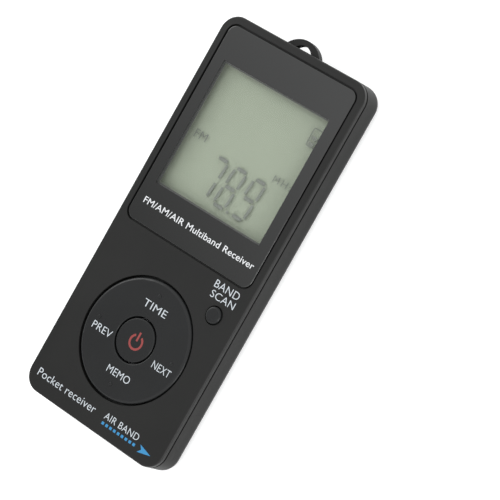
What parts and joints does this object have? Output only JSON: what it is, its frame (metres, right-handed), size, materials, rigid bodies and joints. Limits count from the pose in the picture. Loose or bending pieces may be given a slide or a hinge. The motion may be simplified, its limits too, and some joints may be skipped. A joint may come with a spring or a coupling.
{
  "type": "pocket airband radio",
  "caption": "Slim pocket radio with a square display under a flush lens, a round tilting dial with a centre key, a small scan key, side keys and a lanyard eye.",
  "frame": {"origin": "centre of the flat back face", "axes": "+Z out of the display, +Y along the case towards the lanyard eye, +X to the display's right"},
  "size_m": [0.0429, 0.1004, 0.0098],
  "materials": {
    "case_front": "satin charcoal ABS",
    "case_rear": "satin charcoal ABS",
    "screw_steel": "blackened steel",
    "lens": "smoked acrylic, printed border",
    "tape": "black foam tape",
    "gasket": "matt",
    "polariser": "grey-green film",
    "pane": "clear",
    "light_guide": "frosted acrylic",
    "reflector": "white film",
    "led": "clear orange",
    "holder": "white nylon",
    "elastomer": "matt, striped",
    "dial": "satin bluish black",
    "pivot": "matt",
    "power": "satin bluish black",
    "scan": "satin",
    "mat": "matt silicone",
    "domes": "bright",
    "side_key": "satin",
    "plunger": "nylon",
    "switch_body": "moulded",
    "board": "green solder mask",
    "shield": "tinned",
    "chip": "moulded",
    "crystal": "nickel",
    "capacitor": "tan",
    "resistor": "black",
    "tantalum": "yellow",
    "battery": "pouch foil",
    "pad": "adhesive foam",
    "strip": "green solder mask",
    "wire_red": "vinyl",
    "wire_black": "vinyl",
    "plug": "nylon",
    "ferrite": "sintered",
    "coil": "enamelled copper",
    "jack": "moulded",
    "contacts": "gold plated",
    "socket": "bright",
    "tongue": "moulded"
  },
  "bodies": {
    "case": {"audio_amplifier_chip": "chip", "backlight_leds": "led", "battery_cell": "battery", "battery_circuit": "strip", "battery_lead_black": "wire_black", "battery_lead_red": "wire_red", "battery_pad": "pad", "battery_plug": "plug", "battery_socket": "plug", "board_screws": "screw_steel", "case_screws": "screw_steel", "charger_chip": "chip", "charging_socket": "socket", "chip_capacitors": "capacitor", "chip_resistors": "resistor", "clock_crystal": "crystal", "controller_chip": "chip", "display_lens": "lens", "dome_switches": "domes", "elastomer_connector": "elastomer", "ferrite_bar": "ferrite", "ferrite_coil": "coil", "front_polariser": "polariser", "front_shell": "case_front", "headphone_jack": "jack", "jack_contacts": "contacts", "keypad_mat": "mat", "lcd_front_pane": "pane", "lcd_gasket": "gasket", "lcd_holder": "holder", "lcd_rear_pane": "pane", "lens_tape": "tape", "light_guide": "light_guide", "lock_switch": "switch_body", "main_board": "board", "main_crystal": "crystal", "radio_shield": "shield", "rear_polariser": "polariser", "rear_shell": "case_rear", "receiver_chip": "chip", "reflector_sheet": "reflector", "socket_tongue": "tongue", "tantalum_capacitors": "tantalum", "volume_switches": "switch_body"},
    "dial_pivot": {"dial_pivot_ring": "pivot"},
    "dial": {"dial_ring": "dial"},
    "power": {"power_key": "power"},
    "scan": {"band_scan_key": "scan"},
    "volume_up": {"volume_up_key": "side_key", "volume_up_plunger": "plunger"},
    "volume_down": {"volume_down_key": "side_key", "volume_down_plunger": "plunger"},
    "lock": {"lock_slider": "side_key", "lock_lever": "plunger"}
  },
  "joints": [
    {"name": "dial_tilt_up_down", "type": "hinge", "parent": "case", "child": "dial_pivot", "pos_m": [0, -0.02625, 0.0065], "axis": [1, 0, 0], "range_deg": [-1, 1], "stiffness_Nm_per_rad": 0.9},
    {"name": "dial_tilt_left_right", "type": "hinge", "parent": "dial_pivot", "child": "dial", "pos_m": [0, -0.02625, 0.0065], "axis": [0, 1, 0], "range_deg": [-1, 1], "stiffness_Nm_per_rad": 0.9},
    {"name": "power_key_press", "type": "slide", "parent": "case", "child": "power", "axis": [0, 0, -1], "range_m": [0, 0.00025], "stiffness_N_per_m": 350},
    {"name": "scan_key_press", "type": "slide", "parent": "case", "child": "scan", "axis": [0, 0, -1], "range_m": [0, 0.00025], "stiffness_N_per_m": 350},
    {"name": "volume_up_press", "type": "slide", "parent": "case", "child": "volume_up", "axis": [1, 0, 0], "range_m": [0, 0.0003], "stiffness_N_per_m": 350},
    {"name": "volume_down_press", "type": "slide", "parent": "case", "child": "volume_down", "axis": [1, 0, 0], "range_m": [0, 0.0003], "stiffness_N_per_m": 350},
    {"name": "lock_slide", "type": "slide", "parent": "case", "child": "lock", "axis": [0, 1, 0], "range_m": [0, 0.002]}
  ]
}
